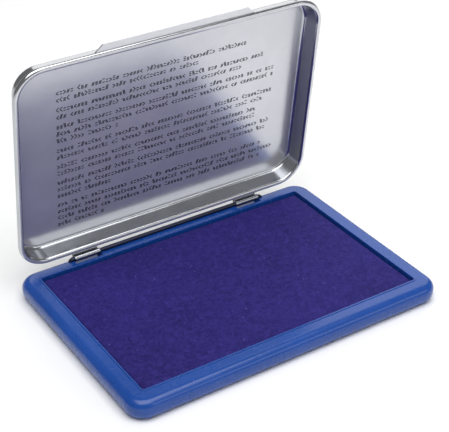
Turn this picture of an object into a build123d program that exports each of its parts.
from build123d import *
from math import acos, atan2, cos, degrees, hypot, radians, sin, tan
import os

# Hinged metal-lidded stamp pad: a moulded plastic tray holds a cloth-covered felt pad,
# and a drawn tinplate lid turns on a steel wire along the tray's rear edge.
#
# Frame: millimetres. X runs along the hinge, Y points from the user to the hinge and
# Z is up. The origin is the centre of the tray's underside, on the table.
# The lid is modelled shut and is then turned about the hinge wire to its open rest pose.

# ---- driving dimensions: tray ----
BASE_W = 120.0          # along the hinge
BASE_D = 82.95          # front to back
BASE_H = 7.2            # table to rim
BASE_CORNER_R = 6.6     # upright corners
BASE_TOP_ROUND = 3.0
BASE_BOTTOM_ROUND = 3.2

WELL_W = 106.8          # opening that the pad sits in
WELL_D = 69.9
WELL_Y = 0.16           # the well's centre is a little nearer the hinge
WELL_CORNER_R = 0.8
WELL_FLOOR_Z = 2.2

LIP_W = 0.7             # fine raised lip round the opening
LIP_H = 0.22
LIP_ROUND = 0.15
LIP_FOOT = 0.5          # how far the lip is carried down into the rim

RECESS_W = 98.0         # shallow recess under the floor, crossed by flat webs
RECESS_D = 61.0
RECESS_H = 0.8
RECESS_R = 3.0
RECESS_WEB_T = 1.6
RECESS_WEB_PITCH = 20.0
CORE_WALL = 3.5         # outer skirt left beside the cored pockets
CORE_WELL_WALL = 1.4    # well wall left beside them
CORE_TOP_Z = 5.2
CORE_KEEP = 2.0         # solid rim left on both sides of a hinge slot and wire end
RIB_T = 1.2             # webs between pockets
RIB_PITCH = 13.0

# ---- driving dimensions: ink pad ----
PAD_GAP = 0.3           # between the pad and the well wall
PAD_TOP_Z = 6.6
PAD_CORNER_R = 1.0
CLOTH_T = 0.5
CLOTH_EDGE_R = 1.2
HEM_W = 7.0             # cloth turned under the board
BOARD_T = 1.0

# ---- driving dimensions: hinge ----
HINGE_Y = 39.05
HINGE_Z = 7.75
WIRE_R = 0.8
WIRE_BEND_R = 1.3
WIRE_CORNER_X = 40.2    # where the wire turns down into the rim
WIRE_LEG = 4.6
HINGE_CLEARANCE = 0.05  # radial, between the wire and the rolled straps

STRAP_X = 33.6          # centre of each strap
STRAP_W = 9.8
STRAP_T = 0.35
STRAP_UP = 3.0          # length lying on the lid's rear wall
STRAP_BEND_R = 0.5
STRAP_KNEE = 1.17       # the bend over the bead, ahead of the wire
STRAP_OVER = 0.05       # gap between the strap and the bead that it passes over
STRAP_WRAP = 279.0      # degrees round the wire

SLOT_SIDE_GAP = 0.3
SLOT_FRONT_Y = 36.6
SLOT_FLOOR_Z = 4.9

# ---- driving dimensions: lid ----
LID_W = 118.1
LID_D = 78.15
LID_REAR_Y = 37.0       # outer edge of the shut lid's bead
LID_RIM_Z = 7.45        # rim plane of the shut lid
LID_DEPTH = 7.1
LID_T = 0.3             # tinplate
LID_CORNER_R = 10.9
LID_DRAFT = 5.0         # degrees that the walls lean inwards
LID_PANEL_R = 1.6       # bend between wall and panel, outside
PANEL_OVERLAP = 0.6     # flat part of the edge section that the panel is joined to
BEAD_R = 1.0            # outward curl round the rim
BEAD_SWEEP = 300.0
THUMB_L = 61.0
THUMB_OUT = 2.3
THUMB_ROOT = 0.25       # how far the thumb lip is carried into the curl
THUMB_TAPER = 3.0
THUMB_TIP_R = 1.0
THUMB_T = 0.4
LID_OPEN = 82.9         # degrees between shut and the rest pose

CUT = 1.0               # how far a cutting shape runs past the face that it opens
EPS = 0.02


def rounded_block(width, depth, z0, z1, corner_r, centre_y=0.0):
    """Upright rounded block from z0 to z1."""
    outline = Pos(0, centre_y, z0) * RectangleRounded(width, depth, corner_r)
    return extrude(outline, z1 - z0)


def box_between(x0, x1, y0, y1, z0, z1):
    """Box given by its faces."""
    centre = Pos((x0 + x1) / 2, (y0 + y1) / 2, (z0 + z1) / 2)
    return centre * Box(x1 - x0, y1 - y0, z1 - z0)


# ---------------------------------------------------------------- hinge wire
def make_hinge_wire():
    """Steel staple: a long straight run with both ends turned down into the rim."""
    leg = Vector(0, 0, -WIRE_LEG)
    left = Vector(-WIRE_CORNER_X, HINGE_Y, HINGE_Z)
    right = Vector(WIRE_CORNER_X, HINGE_Y, HINGE_Z)
    path = FilletPolyline(left + leg, left, right, right + leg, radius=WIRE_BEND_R)
    section = Plane(origin=path @ 0, z_dir=path % 0) * Circle(WIRE_R)
    return sweep(section, path=path)


# ---------------------------------------------------------------- tray
def make_core_pockets():
    """Pockets that lighten the rim from below, with webs between them."""
    outer = rounded_block(BASE_W - 2 * CORE_WALL, BASE_D - 2 * CORE_WALL, -CUT, CORE_TOP_Z,
                          BASE_CORNER_R - CORE_WALL)
    inner = rounded_block(WELL_W + 2 * CORE_WELL_WALL, WELL_D + 2 * CORE_WELL_WALL, -2 * CUT,
                          BASE_H, WELL_CORNER_R + CORE_WELL_WALL, WELL_Y)
    ring = outer - inner
    half_t = RIB_T / 2
    half_count_x = int(BASE_W / 2 / RIB_PITCH)
    for i in range(-half_count_x, half_count_x + 1):
        x = i * RIB_PITCH
        ring -= box_between(x - half_t, x + half_t, -BASE_D, BASE_D, -2 * CUT, BASE_H)
    half_count_y = int(BASE_D / 2 / RIB_PITCH)
    for i in range(-half_count_y, half_count_y + 1):
        y = WELL_Y + i * RIB_PITCH
        ring -= box_between(-BASE_W, BASE_W, y - half_t, y + half_t, -2 * CUT, BASE_H)
    # the rim stays solid under the hinge slots and round the wire's ends
    for side in (-1, 1):
        x_in = STRAP_X - STRAP_W / 2 - CORE_KEEP
        x_out = WIRE_CORNER_X + WIRE_R + CORE_KEEP
        x0, x1 = sorted((side * x_in, side * x_out))
        ring -= box_between(x0, x1, 0, BASE_D, -2 * CUT, BASE_H)
    return ring


def make_floor_recess():
    """Shallow panels under the floor, between webs that stay level with the underside."""
    recess = rounded_block(RECESS_W, RECESS_D, -CUT, RECESS_H, RECESS_R)
    half_t = RECESS_WEB_T / 2
    for i in (-2, -1, 0, 1, 2):
        x = i * RECESS_WEB_PITCH
        recess -= box_between(x - half_t, x + half_t, -BASE_D, BASE_D, -2 * CUT, BASE_H)
    for i in (-1, 0, 1):
        y = i * RECESS_WEB_PITCH
        recess -= box_between(-BASE_W, BASE_W, y - half_t, y + half_t, -2 * CUT, BASE_H)
    return recess


def make_opening_lip():
    """Fine raised lip round the pad opening."""
    foot_z = BASE_H - LIP_FOOT
    lip = rounded_block(WELL_W + 2 * LIP_W, WELL_D + 2 * LIP_W, foot_z, BASE_H + LIP_H,
                        WELL_CORNER_R + LIP_W, WELL_Y)
    lip -= rounded_block(WELL_W, WELL_D, foot_z - CUT, BASE_H + CUT, WELL_CORNER_R, WELL_Y)
    return fillet(lip.faces().sort_by(Axis.Z)[-1].edges(), LIP_ROUND)


def make_base_tray(wire):
    """Moulded tray with its pad well, hinge slots, wire seat and cored underside."""
    tray = rounded_block(BASE_W, BASE_D, 0, BASE_H, BASE_CORNER_R)
    tray = fillet(tray.faces().sort_by(Axis.Z)[-1].edges(), BASE_TOP_ROUND)
    tray = fillet(tray.faces().sort_by(Axis.Z)[0].edges(), BASE_BOTTOM_ROUND)
    tray -= rounded_block(WELL_W, WELL_D, WELL_FLOOR_Z, BASE_H + CUT, WELL_CORNER_R, WELL_Y)
    tray += make_opening_lip()
    tray -= make_floor_recess()
    tray -= make_core_pockets()
    half = STRAP_W / 2 + SLOT_SIDE_GAP
    for x in (-STRAP_X, STRAP_X):
        tray -= box_between(x - half, x + half, SLOT_FRONT_Y, BASE_D, SLOT_FLOOR_Z,
                            BASE_H + CUT)
    return tray - wire


# ---------------------------------------------------------------- ink pad
def make_pad():
    """Backing board, felt core and the cloth that wraps both."""
    width = WELL_W - 2 * PAD_GAP
    depth = WELL_D - 2 * PAD_GAP
    inner_w = width - 2 * CLOTH_T
    inner_d = depth - 2 * CLOTH_T
    board_z = WELL_FLOOR_Z + CLOTH_T
    felt_z = board_z + BOARD_T

    inner_r = PAD_CORNER_R - CLOTH_T

    board = rounded_block(inner_w, inner_d, board_z, felt_z, inner_r, WELL_Y)
    felt = rounded_block(inner_w, inner_d, felt_z, PAD_TOP_Z - CLOTH_T, inner_r, WELL_Y)
    felt = fillet(felt.faces().sort_by(Axis.Z)[-1].edges(), CLOTH_EDGE_R - CLOTH_T)

    cover = rounded_block(width, depth, WELL_FLOOR_Z, PAD_TOP_Z, PAD_CORNER_R, WELL_Y)
    cover = fillet(cover.faces().sort_by(Axis.Z)[-1].edges(), CLOTH_EDGE_R)
    cover -= felt
    cover -= board
    cover -= rounded_block(width - 2 * HEM_W, depth - 2 * HEM_W, WELL_FLOOR_Z - CUT,
                           board_z + EPS, PAD_CORNER_R, WELL_Y)
    return board, felt, cover


# ---------------------------------------------------------------- lid
def wall_inset(z, offset):
    """Distance in from the bead's outer edge, at height z, of the leaning wall's middle.

    A positive offset takes a line on the wall's outer side instead.
    """
    draft = radians(LID_DRAFT)
    rise = z - (LID_RIM_Z + BEAD_R)
    return BEAD_R + (BEAD_R - LID_T / 2 - offset) / cos(draft) + rise * tan(draft)


def panel_inset():
    """Distance in from the bead's outer edge of the centre line of the panel's bend."""
    draft = radians(LID_DRAFT)
    bend_r = LID_PANEL_R - LID_T / 2
    start_z = LID_RIM_Z + LID_DEPTH - LID_PANEL_R + bend_r * sin(draft)
    return wall_inset(start_z, 0) + bend_r * cos(draft)


def lid_section():
    """Sheet section of the lid's edge, in x (outwards from the corner centre) and y (up)."""
    edge_x = LID_CORNER_R
    bead_x = edge_x - BEAD_R
    bead_z = LID_RIM_Z + BEAD_R
    bend_x = edge_x - panel_inset()
    bend_z = LID_RIM_Z + LID_DEPTH - LID_PANEL_R
    bend_r = LID_PANEL_R - LID_T / 2
    # the curl and the bend both meet the leaning wall at a tangent
    curl = CenterArc((bead_x, bead_z), BEAD_R - LID_T / 2, 180 + LID_DRAFT, BEAD_SWEEP)
    bend = CenterArc((bend_x, bend_z), bend_r, LID_DRAFT, 90 - LID_DRAFT)
    wall = Line(curl @ 0, bend @ 0)
    flat = Line(bend @ 1, bend @ 1 - Vector(PANEL_OVERLAP, 0))
    return [trace(piece, LID_T) for piece in (curl, wall, bend, flat)]


def lid_rim_run(section):
    """Carry one section round the rounded rectangle: four straight runs, four corners."""
    half_x = LID_W / 2 - LID_CORNER_R
    half_y = LID_D / 2 - LID_CORNER_R
    sides = ((half_x, half_y, 0), (-half_x, half_y, 90), (-half_x, -half_y, 180),
             (half_x, -half_y, 270))
    ring = None
    for i, (x, y, turn) in enumerate(sides):
        upright = Pos(x, y, 0) * Rot(0, 0, turn) * Rot(90, 0, 0) * section
        corner = revolve(upright, Axis((x, y, 0), (0, 0, 1)), 90)
        length = 2 * half_y if i % 2 == 0 else 2 * half_x
        back = Vector(0, -1, 0).rotate(Axis.Z, turn)
        straight = extrude(upright, length, dir=back)
        piece = corner + straight
        ring = piece if ring is None else ring + piece
    return ring


def make_lid_shell():
    """Drawn tinplate lid, shut: panel, walls, outward curl and thumb lip."""
    shell = None
    for section in lid_section():
        run = lid_rim_run(section)
        shell = run if shell is None else shell + run
    inset = panel_inset()
    top_z = LID_RIM_Z + LID_DEPTH
    shell += rounded_block(LID_W - 2 * inset, LID_D - 2 * inset, top_z - LID_T, top_z,
                           LID_CORNER_R - inset)
    # thumb lip: a flange on the curl's outer side, along the middle of the front
    root_y = -LID_D / 2 + THUMB_ROOT
    tip_y = -LID_D / 2 - THUMB_OUT
    half = THUMB_L / 2
    outline = Polyline((-half, root_y), (half, root_y), (half - THUMB_TAPER, tip_y),
                       (-half + THUMB_TAPER, tip_y), close=True)
    lip = extrude(Pos(0, 0, LID_RIM_Z + BEAD_R) * make_face(outline), THUMB_T)
    tips = lip.edges().filter_by(Axis.Z).sort_by(Axis.Y)[:2]
    shell += fillet(tips, THUMB_TIP_R)
    return Pos(0, LID_REAR_Y - LID_D / 2, 0) * shell


def make_strap(centre_x):
    """Steel strap, shut: welded to the lid's rear wall and rolled round the wire."""
    over_z = LID_RIM_Z + 2 * BEAD_R + STRAP_OVER + STRAP_T / 2
    on_wall = (LID_T + STRAP_T) / 2
    top_z = over_z + STRAP_UP
    top = (LID_REAR_Y - wall_inset(top_z, on_wall), top_z)
    foot = (LID_REAR_Y - wall_inset(over_z, on_wall), over_z)
    knee = (HINGE_Y - STRAP_KNEE, over_z)
    loop_r = WIRE_R + HINGE_CLEARANCE + STRAP_T / 2
    # angle on the loop where the straight part from the knee meets it at a tangent
    to_z = HINGE_Z - over_z
    start = degrees(acos(-loop_r / hypot(STRAP_KNEE, to_z)) - atan2(-to_z, STRAP_KNEE))
    loop = CenterArc((HINGE_Y, HINGE_Z), loop_r, start, -STRAP_WRAP)
    bent = FilletPolyline(top, foot, knee, loop @ 0, radius=STRAP_BEND_R)
    flat = trace([bent, loop], STRAP_T)
    # the sketch's x is the object's Y and its y is Z
    side = Plane(origin=(centre_x - STRAP_W / 2, 0, 0), x_dir=(0, 1, 0), z_dir=(1, 0, 0))
    return extrude(side * flat, STRAP_W)


def open_lid(shape):
    """Turn a piece of the shut lid about the hinge wire to its rest pose."""
    pivot = Axis((0, HINGE_Y, HINGE_Z), (1, 0, 0))
    return shape.rotate(pivot, -LID_OPEN)


# ---------------------------------------------------------------- write the pieces
hinge_wire = make_hinge_wire()
board, felt, cover = make_pad()
pieces = {
    "base_tray": make_base_tray(hinge_wire),
    "pad_backing_board": board,
    "felt_core": felt,
    "pad_cloth_cover": cover,
    "hinge_wire": hinge_wire,
    "lid_shell": open_lid(make_lid_shell()),
    "lid_hinge_strap_left": open_lid(make_strap(-STRAP_X)),
    "lid_hinge_strap_right": open_lid(make_strap(STRAP_X)),
}

os.makedirs("parts", exist_ok=True)
for name, shape in pieces.items():
    export_step(shape, f"parts/{name}.step")
